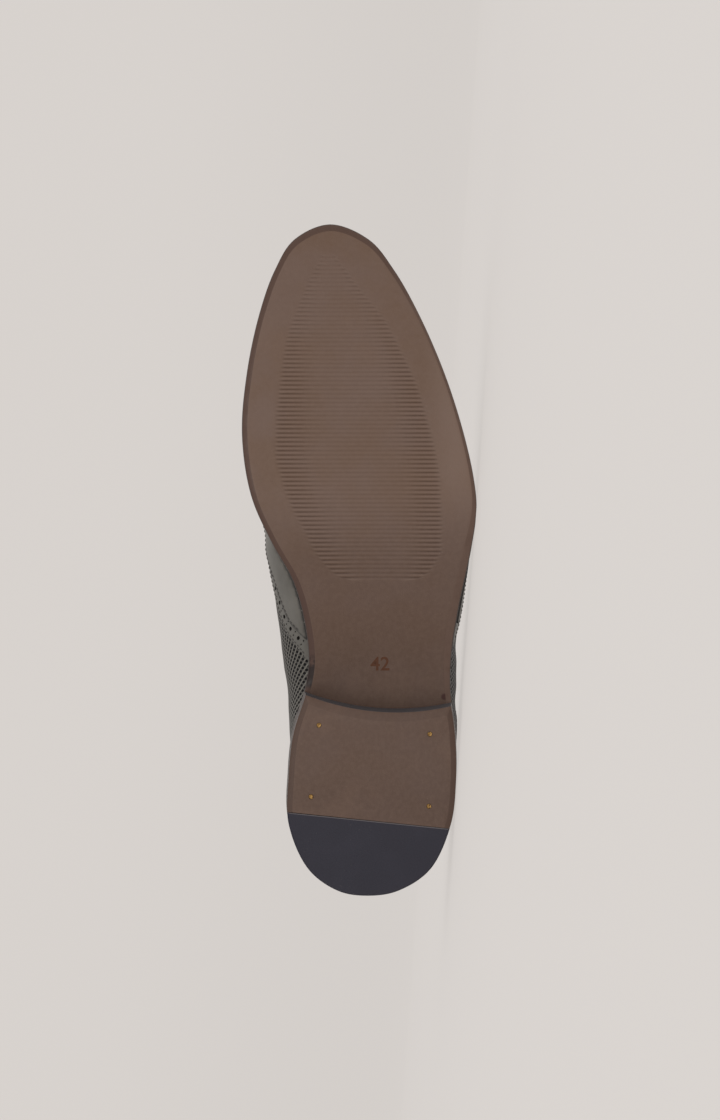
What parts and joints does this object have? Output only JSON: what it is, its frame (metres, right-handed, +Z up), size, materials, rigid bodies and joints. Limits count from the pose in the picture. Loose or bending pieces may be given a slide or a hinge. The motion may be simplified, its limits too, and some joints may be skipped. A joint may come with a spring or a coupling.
{
  "type": "brogue shoe",
  "caption": "Left full-brogue lace-up shoe in grey leather with a brown leather sole and a low heel, lying on its outer side with its sole facing out.",
  "frame": {"origin": "on the floor under the middle of the lying shoe", "axes": "+X from the heel towards the toe along the floor, -Y out of the sole, +Z up, from the outer side of the shoe that lies on the floor to its inner side"},
  "size_m": [0.3018, 0.1256, 0.1076],
  "materials": {
    "sole_leather": "stained, fine grain, semi-matt",
    "welt_leather": "stained and waxed edge",
    "insole_leather": "plain matt lining leather",
    "heel_stack_leather": "dark grey edge finish",
    "top_piece_leather": "stained, semi-matt",
    "top_piece_rubber": "matt navy",
    "woven_leather": "embossed with a fine basket weave",
    "smooth_leather": "smooth, semi-matt",
    "tongue_leather": "smooth, matt",
    "nail_brass": "worn",
    "lace_cotton": "waxed round cord"
  },
  "bodies": {
    "root": {"outsole": "sole_leather", "welt": "welt_leather", "insole": "insole_leather", "heel_stack": "heel_stack_leather", "top_piece": "top_piece_leather", "top_piece_rubber": "top_piece_rubber", "upper": "woven_leather", "tongue": "tongue_leather", "wing_cap": "smooth_leather", "heel_counter": "smooth_leather", "facing_inner": "smooth_leather", "facing_outer": "smooth_leather", "back_strap": "smooth_leather", "nail_front_inner": "nail_brass", "nail_front_outer": "nail_brass", "nail_back_inner": "nail_brass", "nail_back_outer": "nail_brass", "lace_bar_1": "lace_cotton", "lace_bar_2": "lace_cotton", "lace_bar_3": "lace_cotton", "lace_bar_4": "lace_cotton", "lace_bar_5": "lace_cotton"}
  },
  "joints": []
}
